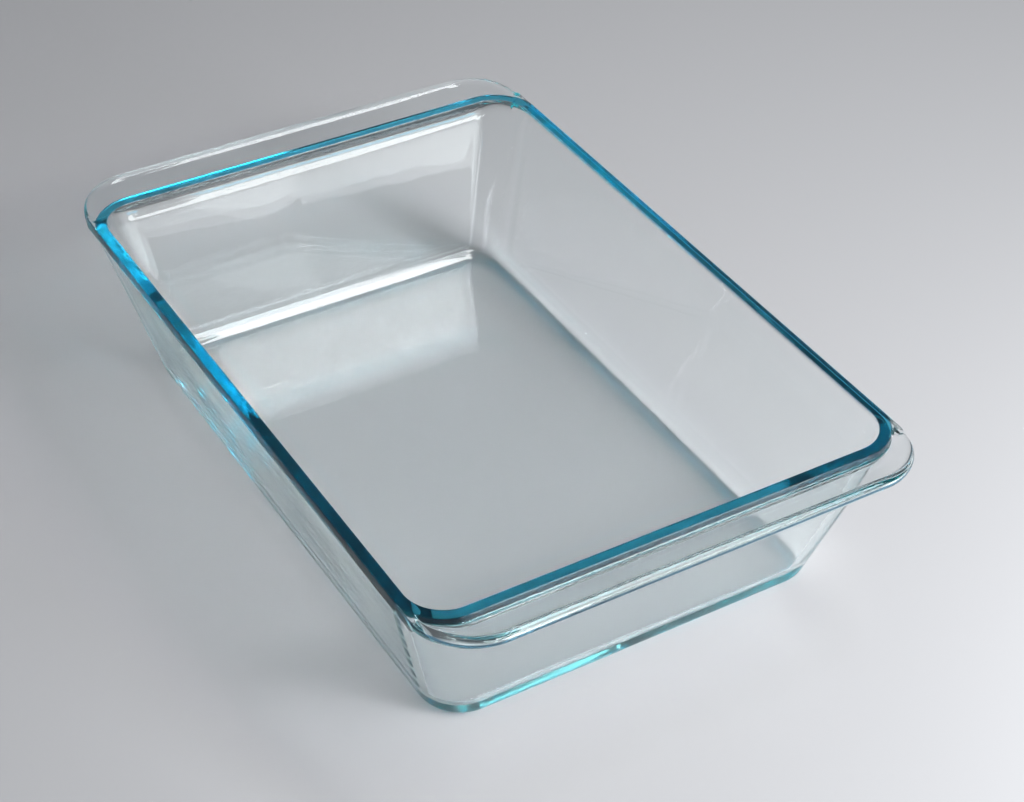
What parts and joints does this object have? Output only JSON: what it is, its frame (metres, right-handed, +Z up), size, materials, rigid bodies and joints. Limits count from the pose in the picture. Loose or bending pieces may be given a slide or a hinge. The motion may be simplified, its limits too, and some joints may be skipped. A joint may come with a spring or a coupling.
{
  "type": "baking dish",
  "caption": "Deep oblong baking dish of clear pressed glass, with leaning walls, rounded corners, a flat rim and a broad dipped handle at each end",
  "frame": {"origin": "under the middle of the base, on the plane that the dish stands on", "axes": "+X along the dish from handle to handle, +Y across it, +Z up out of its opening"},
  "size_m": [0.35, 0.228, 0.082],
  "materials": {
    "glass": "clear, smooth pressed borosilicate glass with a faint blue edge"
  },
  "bodies": {
    "root": {"dish": "glass"}
  },
  "joints": []
}
